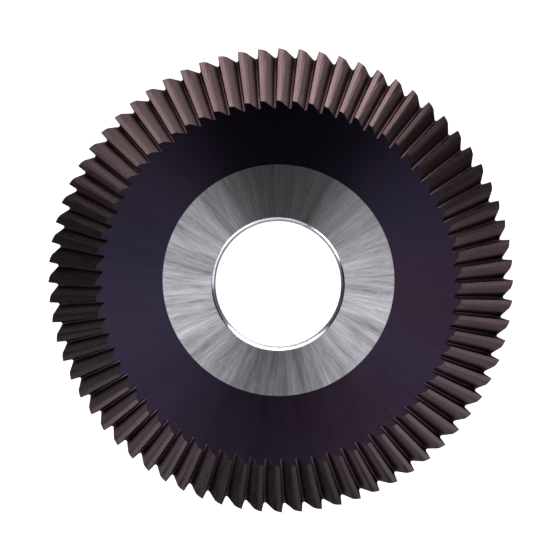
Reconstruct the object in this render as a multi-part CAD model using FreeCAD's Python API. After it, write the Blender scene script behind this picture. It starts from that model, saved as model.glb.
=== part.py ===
import FreeCAD, Part
import math
import os

# Angle milling cutter in one solid, with its back face on z = 0 and its axis on Z.
# The teeth stand on the bevel between the rim and the front face and run out
# through both faces. Seen from the front the cutter turns anticlockwise.

# Driving dimensions of the disc, in millimetres
OUTER_DIAMETER = 60.0
FRONT_DIAMETER = 46.8
THICKNESS = 6.0
BORE_DIAMETER = 16.0
BORE_CHAMFER = 0.5

# Driving dimensions of the teeth, in millimetres and degrees
TOOTH_COUNT = 72
FIRST_EDGE_ANGLE = 0.43
LAND_AT_RIM = 0.58
LAND_AT_FRONT = 0.5
LAND_RELIEF = 12.0
SECOND_LAND_AT_RIM = 0.5
SECOND_LAND_AT_FRONT = 0.2
SECOND_RELIEF = 23.0
LEAN_AT_RIM = 8.0
LEAN_AT_FRONT = 2.0
DEPTH_AT_RIM = 1.25
DEPTH_AT_FRONT = 1.02
GULLET_RADIUS = 0.22

pitch_angle = 2 * math.pi / TOOTH_COUNT


def polar(radius, angle):
    """Point in the XY plane at a distance and a bearing from the axis."""
    return FreeCAD.Vector(radius * math.cos(angle), radius * math.sin(angle), 0)


def tooth_space(tip_radius, land, second_land, face_lean, depth):
    """
    Corners of the space ahead of the cutting edge that lies on the X axis: the edge,
    the foot of its face, the gullet's deepest point and its end, then the heel where
    the next tooth's second land begins and the place where its first land begins.
    """
    lean = math.radians(face_lean)
    edge = polar(tip_radius, 0)
    off_face = polar(1, math.pi / 2 - lean)
    next_edge = polar(tip_radius, pitch_angle)
    backward = pitch_angle - math.pi / 2
    land_start = next_edge + polar(land, backward - math.radians(LAND_RELIEF))
    heel = land_start + polar(second_land, backward - math.radians(SECOND_RELIEF))

    # The gullet's arc touches the face, whose foot stands ahead of its edge
    centre_drop = depth - GULLET_RADIUS
    centre_ahead = centre_drop * math.tan(lean) + GULLET_RADIUS / math.cos(lean)
    centre = FreeCAD.Vector(tip_radius - centre_drop, centre_ahead, 0)
    foot = centre - off_face * GULLET_RADIUS

    # The back of the next tooth is the line from its heel that touches the same arc
    to_centre = centre - heel
    reach = math.sqrt(to_centre.Length ** 2 - GULLET_RADIUS ** 2)
    bearing = math.atan2(to_centre.y, to_centre.x) - math.atan2(GULLET_RADIUS, reach)
    gullet_end = heel + polar(reach, bearing)
    deepest = centre + (foot - centre + gullet_end - centre).normalize() * GULLET_RADIUS
    return edge, foot, deepest, gullet_end, heel, land_start


def toothed_outline(height, corners):
    """Closed outline of the whole toothed disc in the plane at one height."""
    turn = FreeCAD.Rotation(FreeCAD.Vector(0, 0, 1), 360 / TOOTH_COUNT)
    turned = FreeCAD.Rotation(FreeCAD.Vector(0, 0, 1), FIRST_EDGE_ANGLE)
    lift = FreeCAD.Vector(0, 0, height)
    edges = []
    for tooth in range(TOOTH_COUNT):
        placed = [turned.multVec(corner) + lift for corner in corners]
        edge, foot, deepest, gullet_end, heel, land_start = placed
        turned = turned.multiply(turn)
        next_edge = turned.multVec(corners[0]) + lift
        edges.append(Part.LineSegment(edge, foot).toShape())
        edges.append(Part.Arc(foot, deepest, gullet_end).toShape())
        edges.append(Part.LineSegment(gullet_end, heel).toShape())
        edges.append(Part.LineSegment(heel, land_start).toShape())
        edges.append(Part.LineSegment(land_start, next_edge).toShape())
    return Part.Wire(edges)


def toothed_disc():
    """Disc whose outline narrows in straight lines from the back face to the front face."""
    space_at_rim = tooth_space(
        OUTER_DIAMETER / 2, LAND_AT_RIM, SECOND_LAND_AT_RIM, LEAN_AT_RIM, DEPTH_AT_RIM
    )
    space_at_front = tooth_space(
        FRONT_DIAMETER / 2, LAND_AT_FRONT, SECOND_LAND_AT_FRONT, LEAN_AT_FRONT, DEPTH_AT_FRONT
    )
    back = toothed_outline(0, space_at_rim)
    front = toothed_outline(THICKNESS, space_at_front)
    return Part.makeLoft([back, front], True, True)


def bore_core():
    """Core that leaves the bore and the chamfer at each of its mouths."""
    bore = BORE_DIAMETER / 2
    mouth = bore + BORE_CHAMFER
    flare = mouth + BORE_CHAMFER
    outline = [
        (0, -BORE_CHAMFER),
        (flare, -BORE_CHAMFER),
        (bore, BORE_CHAMFER),
        (bore, THICKNESS - BORE_CHAMFER),
        (flare, THICKNESS + BORE_CHAMFER),
        (0, THICKNESS + BORE_CHAMFER),
    ]
    points = [FreeCAD.Vector(radius, 0, height) for radius, height in outline]
    half_section = Part.Face(Part.makePolygon(points + points[:1]))
    return half_section.revolve(FreeCAD.Vector(0, 0, 0), FreeCAD.Vector(0, 0, 1), 360)


cutter = toothed_disc().cut(bore_core())
solids = cutter.Solids
if len(solids) != 1 or not solids[0].isValid():
    raise SystemExit("the cutter is not one valid solid")

os.makedirs("parts", exist_ok=True)
solids[0].exportStep("parts/cutter_body.step")
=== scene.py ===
import math

import bmesh
import bpy
from mathutils import Matrix, Vector


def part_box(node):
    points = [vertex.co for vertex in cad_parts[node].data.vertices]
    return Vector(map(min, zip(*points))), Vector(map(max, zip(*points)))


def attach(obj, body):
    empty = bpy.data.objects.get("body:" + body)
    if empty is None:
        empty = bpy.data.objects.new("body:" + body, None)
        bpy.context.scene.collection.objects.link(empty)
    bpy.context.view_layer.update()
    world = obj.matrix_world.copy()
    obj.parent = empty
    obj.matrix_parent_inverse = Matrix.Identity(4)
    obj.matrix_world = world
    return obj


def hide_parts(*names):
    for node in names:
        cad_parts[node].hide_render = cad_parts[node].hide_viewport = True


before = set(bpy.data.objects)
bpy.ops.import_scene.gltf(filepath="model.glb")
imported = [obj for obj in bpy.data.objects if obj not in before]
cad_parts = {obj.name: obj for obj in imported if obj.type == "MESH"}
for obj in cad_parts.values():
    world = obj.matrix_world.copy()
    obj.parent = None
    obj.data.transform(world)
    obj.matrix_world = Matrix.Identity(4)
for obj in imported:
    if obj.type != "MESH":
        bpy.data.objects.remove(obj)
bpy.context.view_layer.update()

# Cutter body, its form: one disc of high-speed steel, turned, hardened and ground all over.
# Every tooth space is ground into the bevel in one straight pass, from the rim to the front face.
# The cutting edges are keen, so each edge has only the few hundredths of rounding that catch light.
MILLIMETRE = 0.001
TOOTH_COUNT = 72
PITCH_ANGLE = 2 * math.pi / TOOTH_COUNT
FIRST_EDGE_ANGLE = math.radians(0.43)
FRONT_RADIUS = 23.4 * MILLIMETRE
LAND_AT_RIM = 0.58 * MILLIMETRE
LAND_AT_FRONT = 0.5 * MILLIMETRE
LAND_RELIEF = math.radians(12)
SECOND_LAND_AT_RIM = 0.5 * MILLIMETRE
SECOND_LAND_AT_FRONT = 0.2 * MILLIMETRE
SECOND_RELIEF = math.radians(23)
LEAN_AT_RIM = math.radians(8)
LEAN_AT_FRONT = math.radians(2)
DEPTH_AT_RIM = 1.25 * MILLIMETRE
DEPTH_AT_FRONT = 1.02 * MILLIMETRE
GULLET_RADIUS = 0.22 * MILLIMETRE
GULLET_STEPS = 8
STEPS_ALONG_TOOTH = 4
BORE_RADIUS = 8 * MILLIMETRE
BORE_CHAMFER = 0.5 * MILLIMETRE
BARE_RING_RADIUS = 14.76 * MILLIMETRE
BARE_RING_CENTRE = Vector((0.04, 0.49)) * MILLIMETRE
CLEAR_OF_GULLETS = 0.25 * MILLIMETRE
EDGE_ROUNDING = 0.02 * MILLIMETRE
SHARPEST_SMOOTH_EDGE = math.radians(28)
# Painted light and shade on the teeth: high values paint the coat as lit, low values paint the roots as
# shade
LIGHT_PAINTED_ON_LAND = 1.0
LIGHT_PAINTED_ON_SECOND_LAND = 0.45
LIGHT_PAINTED_AT_HEEL = 1.0
LIGHT_PAINTED_AT_EDGE = 1.0
LIGHT_PAINTED_AT_FRONT_ROOT = 0.3
MERGE_DISTANCE = 0.001 * MILLIMETRE
ROUNDING_STEPS = 2
LEVEL_FACE = 0.9999

lowest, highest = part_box("cutter_body")
RIM_RADIUS = highest.x / math.cos(FIRST_EDGE_ANGLE)


def at_bearing(distance, bearing):
    """Point in the plane at a distance and a bearing from the axis."""
    return Vector((math.cos(bearing), math.sin(bearing))) * distance


def tooth_space(tip_radius, land, second_land, lean, depth):
    """Corners of the space from a cutting edge on the X axis to the heel of the next tooth."""
    next_edge = at_bearing(tip_radius, PITCH_ANGLE)
    land_end = next_edge + at_bearing(land, PITCH_ANGLE - math.pi / 2 - LAND_RELIEF)
    heel = land_end + at_bearing(second_land, PITCH_ANGLE - math.pi / 2 - SECOND_RELIEF)
    centre_drop = depth - GULLET_RADIUS
    centre_ahead = centre_drop * math.tan(lean) + GULLET_RADIUS / math.cos(lean)
    centre = Vector((tip_radius - centre_drop, centre_ahead))
    to_centre = centre - heel
    reach = math.sqrt(to_centre.length_squared - GULLET_RADIUS ** 2)
    slope = math.atan2(to_centre.y, to_centre.x) - math.atan2(GULLET_RADIUS, reach)
    gullet_end = heel + at_bearing(reach, slope)

    # The gullet turns clockwise about its centre, from the foot of the face to the next tooth's back
    first = math.pi * 1.5 - lean
    last = math.atan2(gullet_end.y - centre.y, gullet_end.x - centre.x)
    arc = [
        centre + at_bearing(GULLET_RADIUS, first + (last - first) * step / GULLET_STEPS)
        for step in range(GULLET_STEPS + 1)
    ]
    return [Vector((tip_radius, 0))] + arc + [heel, land_end]


def toothed_outline(share):
    """Corners of all the teeth, at a share of the way from the back face to the front face."""
    rim_space = tooth_space(RIM_RADIUS, LAND_AT_RIM, SECOND_LAND_AT_RIM, LEAN_AT_RIM, DEPTH_AT_RIM)
    front_space = tooth_space(
        FRONT_RADIUS, LAND_AT_FRONT, SECOND_LAND_AT_FRONT, LEAN_AT_FRONT, DEPTH_AT_FRONT,
    )
    corners = [low.lerp(high, share) for low, high in zip(rim_space, front_space)]
    lift = Vector((0, 0, lowest.z + (highest.z - lowest.z) * share))
    outline = []
    for tooth in range(TOOTH_COUNT):
        turn = Matrix.Rotation(FIRST_EDGE_ANGLE + tooth * PITCH_ANGLE, 2)
        outline += [(turn @ corner).to_3d() + lift for corner in corners]
    return outline


def circle_within(outline, radius, height, centre=Vector((0, 0))):
    """Circle with one point at the bearing of each corner of the outline."""
    lift = Vector((0, 0, height))
    return [
        (centre + corner.to_2d().normalized() * radius).to_3d() + lift for corner in outline
    ]


def draw_out(piece, places, finish):
    """Extrudes the selected loop, moves the new loop to its places and gives its faces a finish."""
    bpy.ops.mesh.extrude_edges_indiv()
    mesh = bmesh.from_edit_mesh(piece.data)
    column = mesh.verts.layers.int["column"]
    for vertex in mesh.verts:
        if vertex.select:
            vertex.co = places[vertex[column]]
            for face in vertex.link_faces:
                face.material_index = finish
    bmesh.update_edit_mesh(piece.data)


TEETH, FACES, BARE_RING, BORE = range(4)
rim_outline = toothed_outline(0)
front_outline = toothed_outline(1)
front_floor = FRONT_RADIUS - DEPTH_AT_FRONT - CLEAR_OF_GULLETS
rim_floor = RIM_RADIUS - DEPTH_AT_RIM - CLEAR_OF_GULLETS
mouth_radius = BORE_RADIUS + BORE_CHAMFER

bpy.ops.object.select_all(action="DESELECT")
bpy.ops.mesh.primitive_circle_add(vertices=len(rim_outline), radius=RIM_RADIUS, fill_type="NOTHING")
cutter = bpy.context.object
cutter.name = "cutter"
cutter.data.name = "cutter"
bpy.ops.object.mode_set(mode="EDIT")
mesh = bmesh.from_edit_mesh(cutter.data)
column = mesh.verts.layers.int.new("column")
mesh.verts.ensure_lookup_table()
for number, vertex in enumerate(mesh.verts):
    vertex[column] = number
    vertex.co = rim_outline[number]
bpy.ops.mesh.select_all(action="SELECT")

# The sheet runs up the teeth, over the front face, down the bore and back across the back face
for step in range(1, STEPS_ALONG_TOOTH + 1):
    draw_out(cutter, toothed_outline(step / STEPS_ALONG_TOOTH), TEETH)
top, bottom = highest.z, lowest.z
draw_out(cutter, circle_within(front_outline, front_floor, top), FACES)
draw_out(cutter, circle_within(front_outline, BARE_RING_RADIUS, top, BARE_RING_CENTRE), FACES)
draw_out(cutter, circle_within(front_outline, mouth_radius, top), BARE_RING)
draw_out(cutter, circle_within(front_outline, BORE_RADIUS, top - BORE_CHAMFER), BORE)
draw_out(cutter, circle_within(front_outline, BORE_RADIUS, bottom + BORE_CHAMFER), BORE)
draw_out(cutter, circle_within(rim_outline, mouth_radius, bottom), BORE)
draw_out(cutter, circle_within(rim_outline, BARE_RING_RADIUS, bottom, BARE_RING_CENTRE), BARE_RING)
draw_out(cutter, circle_within(rim_outline, rim_floor, bottom), FACES)
draw_out(cutter, rim_outline, FACES)
bpy.ops.mesh.select_all(action="SELECT")
bpy.ops.mesh.remove_doubles(threshold=MERGE_DISTANCE)
bpy.ops.mesh.normals_make_consistent(inside=False)

# The heel and the end of each land stay crisp lines between two straight grinds
mesh = bmesh.from_edit_mesh(cutter.data)
column = mesh.verts.layers.int["column"]
corners_per_tooth = len(rim_outline) // TOOTH_COUNT
cutting_edge = 0
heel = corners_per_tooth - 2
land_end = corners_per_tooth - 1
for edge in mesh.edges:
    start, end = [vertex[column] for vertex in edge.verts]
    on_teeth = all(face.material_index == TEETH for face in edge.link_faces)
    if start == end and start % corners_per_tooth in (heel, land_end) and on_teeth:
        edge.smooth = False

# Painted light and shade: lands, heels and edges painted lit, roots painted as shade, less so towards the
# front
painted_light = mesh.loops.layers.float.new("painted_light")
for face in mesh.faces:
    kinds = {loop.vert[column] % corners_per_tooth for loop in face.loops}
    for loop in face.loops:
        corner = loop.vert[column] % corners_per_tooth
        loop[painted_light] = LIGHT_PAINTED_AT_FRONT_ROOT * loop.vert.co.z / highest.z
        if kinds == {cutting_edge, land_end}:
            loop[painted_light] = LIGHT_PAINTED_ON_LAND
        elif kinds == {heel, land_end}:
            loop[painted_light] = LIGHT_PAINTED_ON_SECOND_LAND
        elif corner == heel:
            loop[painted_light] = LIGHT_PAINTED_AT_HEEL
        elif corner == cutting_edge:
            loop[painted_light] = LIGHT_PAINTED_AT_EDGE
bmesh.update_edit_mesh(cutter.data)
bpy.ops.object.mode_set(mode="OBJECT")
cutter.data.attributes.remove(cutter.data.attributes["column"])

rounding = cutter.modifiers.new("edge rounding", "BEVEL")
rounding.width = EDGE_ROUNDING
rounding.segments = ROUNDING_STEPS
rounding.limit_method = "ANGLE"
rounding.angle_limit = SHARPEST_SMOOTH_EDGE
bpy.ops.object.modifier_apply(modifier=rounding.name)

# The level faces are fans of narrow strips, so they are shaded flat and all else smooth
bpy.ops.object.shade_smooth()
for face in cutter.data.polygons:
    face.use_smooth = abs(face.normal.z) < LEVEL_FACE
flat_faces = cutter.modifiers.new("flat faces stay flat", "WEIGHTED_NORMAL")
flat_faces.weight = 100
flat_faces.keep_sharp = True
bpy.ops.object.modifier_apply(modifier=flat_faces.name)
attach(cutter, "root")
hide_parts("cutter_body")


# Cutter body, its finishes: the whole disc is ground with a radial lay and then nitride coated,
# which leaves it a dark violet brown. A spacer that lay a little off centre masked a ring on each
# face, and that ring and the bore stay bare steel.
MILLIMETRES_PER_METRE = 1 / MILLIMETRE
BROWN_COAT = "#4B3D3D"
VIOLET_COAT = "#493E46"
# Dark red brown painted in the roots as shade
PAINTED_SHADE_IN_ROOTS = "#251519"
PLUM_COAT = "#453345"
NAVY_COAT = "#3A364C"
BARE_STEEL = "#CBCAD1"
HONED_STEEL = "#BDBCC3"
CLOUDS_PER_MM = 0.06
CLOUD_TURN = math.radians(100)
# Share of painted light from which the teeth show the full lit coat colour
FULLY_LIT_ABOVE = 0.75
GLOSS_CHANGE = 0.06
GROOVE_STRENGTH = 0.5


def linear(hex_colour):
    """Linear colour of an sRGB hex value."""
    channels = [int(hex_colour[at:at + 2], 16) / 255 for at in (1, 3, 5)]
    return [c / 12.92 if c <= 0.04045 else ((c + 0.055) / 1.055) ** 2.4 for c in channels] + [1]


def add_node(tree, kind, settings=None, links=None):
    """Adds one node with plain values on its sockets or properties, and links into its sockets."""
    node = tree.nodes.new(kind)
    for name, value in (settings or {}).items():
        if isinstance(name, int) or name in node.inputs:
            node.inputs[name].default_value = value
        else:
            setattr(node, name, value)
    for name, source in (links or {}).items():
        tree.links.new(source, node.inputs[name])
    return node


def new_finish(name):
    """Empty node material in the cutter's next material slot."""
    material = bpy.data.materials.new(name)
    material.use_nodes = True
    material.node_tree.nodes.clear()
    cutter.data.materials.append(material)
    return material.node_tree


def radial_lay(tree, streaks_round, streaks_per_mm, swirl, detail):
    """Grinding lay that runs out from the axis: its noise and the direction across it."""
    place = add_node(tree, "ShaderNodeTexCoord").outputs["Object"]
    in_mm = add_node(
        tree, "ShaderNodeVectorMath", {"operation": "SCALE", "Scale": MILLIMETRES_PER_METRE}, {0: place},
    )
    flat = add_node(
        tree, "ShaderNodeVectorMath", {"operation": "MULTIPLY", 1: (1, 1, 0)}, {0: in_mm.outputs[0]},
    )
    radius = add_node(tree, "ShaderNodeVectorMath", {"operation": "LENGTH"}, {0: flat.outputs[0]})
    outward = add_node(tree, "ShaderNodeVectorMath", {"operation": "NORMALIZE"}, {0: flat.outputs[0]})
    turn = add_node(
        tree, "ShaderNodeMath", {"operation": "MULTIPLY", 1: swirl}, {0: radius.outputs["Value"]},
    )
    turned = add_node(
        tree, "ShaderNodeVectorRotate", {"rotation_type": "Z_AXIS"},
        {"Vector": outward.outputs[0], "Angle": turn.outputs[0]},
    )
    round_axis = add_node(
        tree, "ShaderNodeVectorMath", {"operation": "SCALE", "Scale": streaks_round / (2 * math.pi)},
        {0: turned.outputs[0]},
    )
    along = add_node(
        tree, "ShaderNodeMath", {"operation": "MULTIPLY", 1: streaks_per_mm}, {0: radius.outputs["Value"]},
    )
    along_axis = add_node(tree, "ShaderNodeCombineXYZ", {}, {"Z": along.outputs[0]})
    where = add_node(
        tree, "ShaderNodeVectorMath", {"operation": "ADD"},
        {0: round_axis.outputs[0], 1: along_axis.outputs[0]},
    )
    noise = add_node(
        tree, "ShaderNodeTexNoise", {"Scale": 1, "Detail": detail, "Roughness": 0.9, "Distortion": 0.2},
        {"Vector": where.outputs[0]},
    )
    across = add_node(
        tree, "ShaderNodeVectorMath", {"operation": "CROSS_PRODUCT", 0: (0, 0, 1)}, {1: outward.outputs[0]},
    )
    return noise.outputs["Fac"], across.outputs[0]


def spread(tree, source, low, high):
    """Value that runs from low to high as the noise runs over the middle of its range."""
    node = add_node(
        tree, "ShaderNodeMapRange",
        {"From Min": 0.3, "From Max": 0.7, "To Min": low, "To Max": high}, {"Value": source},
    )
    return node.outputs[0]


def blend(tree, first, second, share):
    """Colour between two colours, each a hex value or the output of a node."""
    node = add_node(tree, "ShaderNodeMix", {"data_type": "RGBA"}, {"Factor": share})
    first_colour, second_colour, result = node.inputs[6], node.inputs[7], node.outputs[2]
    for socket, colour in ((first_colour, first), (second_colour, second)):
        if isinstance(colour, str):
            socket.default_value = linear(colour)
        else:
            tree.links.new(colour, socket)
    return result


def ground_metal(tree, colour, streaks, across, roughness, anisotropy, contrast, groove_depth):
    """Ground metal: the lay darkens it, changes its gloss and stands up as fine grooves."""
    shade = spread(tree, streaks, 1 - contrast, 1 + contrast)
    base = add_node(tree, "ShaderNodeVectorMath", {"operation": "SCALE"}, {"Scale": shade})
    if isinstance(colour, str):
        base.inputs[0].default_value = linear(colour)[:3]
    else:
        tree.links.new(colour, base.inputs[0])
    gloss = spread(tree, streaks, roughness + GLOSS_CHANGE, roughness - GLOSS_CHANGE)
    bump = add_node(
        tree, "ShaderNodeBump", {"Strength": GROOVE_STRENGTH, "Distance": groove_depth},
        {"Height": streaks},
    )
    surface = add_node(
        tree, "ShaderNodeBsdfPrincipled", {"Metallic": 1, "Anisotropic": anisotropy},
        {"Base Color": base.outputs[0], "Roughness": gloss, "Normal": bump.outputs[0], "Tangent": across},
    )
    add_node(tree, "ShaderNodeOutputMaterial", {}, {"Surface": surface.outputs[0]})


# Nitride coated teeth, ground along each flute: half gloss, brown on one side of the disc and
# violet on the other, with painted shade darkest in the roots and painted highlights on the lands
teeth = new_finish("nitride_coated_ground_teeth")
streaks, across = radial_lay(teeth, streaks_round=250, streaks_per_mm=0.2, swirl=0, detail=4)
# The painted light and shade, read from the mesh
painted_light = add_node(teeth, "ShaderNodeAttribute", {"attribute_name": "painted_light"}).outputs["Fac"]
place = add_node(teeth, "ShaderNodeTexCoord").outputs["Object"]
side = add_node(teeth, "ShaderNodeSeparateXYZ", {}, {0: place}).outputs["Y"]
drift = add_node(
    teeth, "ShaderNodeMapRange", {"From Min": -RIM_RADIUS, "From Max": RIM_RADIUS}, {"Value": side},
).outputs[0]
painted_lit_share = add_node(
    teeth, "ShaderNodeMapRange",
    {"interpolation_type": "SMOOTHSTEP", "From Max": FULLY_LIT_ABOVE}, {"Value": painted_light},
).outputs[0]
# Painted shade in the roots blends into the brown and violet coat painted as lit
coat = blend(teeth, PAINTED_SHADE_IN_ROOTS, blend(teeth, VIOLET_COAT, BROWN_COAT, drift), painted_lit_share)
ground_metal(
    teeth, coat, streaks, across,
    roughness=0.28, anisotropy=0.0, contrast=0.08, groove_depth=0.001 * MILLIMETRE,
)

# Nitride coated faces, ground with a radial lay: a dark coat whose tint clouds from plum to navy
faces = new_finish("nitride_coated_ground_faces")
streaks, across = radial_lay(faces, streaks_round=35, streaks_per_mm=0.03, swirl=0.004, detail=6)
place = add_node(faces, "ShaderNodeTexCoord").outputs["Object"]
turned = add_node(
    faces, "ShaderNodeVectorRotate", {"rotation_type": "Z_AXIS", "Angle": -CLOUD_TURN}, {"Vector": place},
).outputs[0]
clouds = add_node(
    faces, "ShaderNodeTexNoise", {"Scale": CLOUDS_PER_MM / MILLIMETRE, "Detail": 2}, {"Vector": turned},
).outputs["Fac"]
coat = blend(faces, PLUM_COAT, NAVY_COAT, spread(faces, clouds, 0, 1))
ground_metal(
    faces, coat, streaks, across,
    roughness=0.42, anisotropy=0.9, contrast=0.12, groove_depth=0.001 * MILLIMETRE,
)

# Bare ring, the same ground steel without the coat: silver, with long bright and dark streaks
ring = new_finish("bare_ground_steel")
streaks, across = radial_lay(ring, streaks_round=60, streaks_per_mm=0.07, swirl=0.004, detail=6)
ground_metal(
    ring, BARE_STEEL, streaks, across,
    roughness=0.4, anisotropy=0.9, contrast=0.6, groove_depth=0.003 * MILLIMETRE,
)

# Bore and chamfers, internally ground and bare: finer and glossier than the faces
bore = new_finish("bare_honed_steel")
honed = add_node(
    bore, "ShaderNodeBsdfPrincipled", {"Metallic": 1, "Base Color": linear(HONED_STEEL), "Roughness": 0.2},
)
add_node(bore, "ShaderNodeOutputMaterial", {}, {"Surface": honed.outputs[0]})


# Floor: a plain sheet of opal acrylic lit from below, as under product photographs, so it stays
# white round the cutter and through its bore. The metal doesn't mirror the sheet: it mirrors the
# light boxes that stand below it.
FLOOR_WIDTH = 6.0
FLOOR_COLOUR = "#D8D8D8"
FLOOR_ROUGHNESS = 0.7
FLOOR_GLOW = 1.0
bpy.ops.object.select_all(action="DESELECT")
bpy.ops.mesh.primitive_plane_add(size=FLOOR_WIDTH, location=(0, 0, lowest.z))
floor = bpy.context.object
floor.name = "floor"
bpy.ops.object.transform_apply(location=True, rotation=True, scale=True)
opal = bpy.data.materials.new("opal_acrylic")
opal.use_nodes = True
opal.node_tree.nodes.clear()
sheet = add_node(
    opal.node_tree, "ShaderNodeBsdfPrincipled",
    {
        "Base Color": linear(FLOOR_COLOUR),
        "Roughness": FLOOR_ROUGHNESS,
        "Emission Color": (1, 1, 1, 1),
        "Emission Strength": FLOOR_GLOW,
    },
)
add_node(opal.node_tree, "ShaderNodeOutputMaterial", {}, {"Surface": sheet.outputs[0]})
floor.data.materials.append(opal)
floor.visible_glossy = False
floor.visible_shadow = False


# Light: soft boxes round the cutter, above the sheet and below it. The white room is a backdrop
# that lights nothing.
BOXES = [
    # name, bearing and elevation in degrees, distance, width, height, radiance
    ("far_right", 62, 8.5, 0.6, 0.3, 0.16, 8.0),
    ("far_middle", 90, 8.5, 0.6, 0.3, 0.16, 6.3),
    ("far_left", 118, 8.5, 0.6, 0.3, 0.16, 5.2),
    ("far_left_end", 136, 8.5, 0.6, 0.1, 0.16, 2.25),
    ("far_right_end", 44, 6, 0.6, 0.1, 0.12, 5.0),
    ("right_low_near", 308, 6.5, 0.6, 0.36, 0.13, 2.0),
    ("right_low_far", 342, 6.5, 0.6, 0.36, 0.13, 2.2),
    ("near_low", 270, 6, 0.6, 0.6, 0.12, 1.55),
    ("near_right", 303, 24, 0.6, 0.4, 0.24, 4.85),
    ("near_middle", 270, 24, 0.6, 0.32, 0.24, 1.3),
    ("near_left", 221, 8, 0.6, 0.33, 0.14, 6.1),
    ("near_left_upper", 223, 21, 0.6, 0.3, 0.14, 1.6),
    ("overhead", 256, 75, 0.5, 0.11, 0.105, 3.85),
    ("left_low", 165, 2, 0.6, 0.5, 0.14, 0.09),
    ("right_gap", 16, 2, 0.6, 0.4, 0.14, 0.36),
    ("under_far", 68, -27, 0.6, 1.4, 0.45, 1.25),
    ("under_left", 198, -15, 0.6, 0.3, 0.3, 0.86),
    ("under_right", 312, -7, 0.6, 0.75, 0.13, 1.2),
    ("under_near", 275, -32, 0.6, 0.6, 0.4, 0.7),
    ("under_gap", 166, -18, 0.6, 0.35, 0.3, 0.4),
    ("under_bore", 0, -90, 0.02, 0.016, 0.016, 1.6),
    ("fill_far", 88, 54, 0.6, 0.5, 0.22, 0.8),
    ("fill_near", 252, 54, 0.6, 0.5, 0.2, 1.3),
]
ROOM_LIGHT = 1.0
for name, bearing, elevation, distance, width, height, radiance in BOXES:
    bearing, elevation = math.radians(bearing), math.radians(elevation)
    away = Vector((
        math.cos(bearing) * math.cos(elevation),
        math.sin(bearing) * math.cos(elevation),
        math.sin(elevation),
    ))
    bpy.ops.object.light_add(type="AREA", location=away * distance)
    box = bpy.context.object
    box.name = name
    box.rotation_euler = away.to_track_quat("Z", "Y").to_euler()
    box.data.shape = "RECTANGLE"
    box.data.size = width
    box.data.size_y = height
    # A flat lamp spreads its power over the half space before it, which takes the factor pi
    box.data.energy = radiance * math.pi * width * height
    box.visible_camera = False

world = bpy.data.worlds.new("room")
bpy.context.scene.world = world
world.use_nodes = True
world.node_tree.nodes.clear()
room = add_node(
    world.node_tree, "ShaderNodeBackground", {"Color": (1, 1, 1, 1), "Strength": ROOM_LIGHT},
)
add_node(world.node_tree, "ShaderNodeOutputWorld", {}, {"Surface": room.outputs[0]})
world.cycles_visibility.diffuse = False
world.cycles_visibility.glossy = False
bpy.context.scene.view_settings.view_transform = "Standard"


# Camera: it looks almost straight down through a long lens, tipped a little towards the far right
FRAME_WIDTH = 560
CAMERA_TILT = math.radians(4.5)
CAMERA_BEARING = math.radians(35)
CAMERA_DISTANCE = 490 * MILLIMETRE
AIM_HEIGHT = 3 * MILLIMETRE
PIXELS_PER_MM = 7.81
AIM_PIXEL = Vector((279.1, 282.75))
SENSOR_WIDTH = 36.0
towards_camera = Vector((
    math.sin(CAMERA_TILT) * math.sin(CAMERA_BEARING),
    math.sin(CAMERA_TILT) * math.cos(CAMERA_BEARING),
    math.cos(CAMERA_TILT),
))
picture_up = (Vector((0, 1, 0)) - towards_camera * towards_camera.y).normalized()
picture_right = picture_up.cross(towards_camera)
aim = Vector((0, 0, AIM_HEIGHT))
off_centre = (Vector((FRAME_WIDTH / 2, FRAME_WIDTH / 2)) - AIM_PIXEL) / PIXELS_PER_MM * MILLIMETRE
aim += picture_right * off_centre.x - picture_up * off_centre.y
camera_data = bpy.data.cameras.new("camera")
camera = bpy.data.objects.new("camera", camera_data)
bpy.context.scene.collection.objects.link(camera)
camera_data.sensor_width = SENSOR_WIDTH
focal_pixels = PIXELS_PER_MM * CAMERA_DISTANCE / MILLIMETRE
camera_data.lens = focal_pixels * SENSOR_WIDTH / FRAME_WIDTH
camera_data.clip_start = 0.01
camera_data.clip_end = 20
turn = Matrix((picture_right, picture_up, towards_camera)).transposed().to_4x4()
camera.matrix_world = Matrix.Translation(aim + towards_camera * CAMERA_DISTANCE) @ turn
bpy.context.scene.camera = camera

bpy.context.view_layer.update()
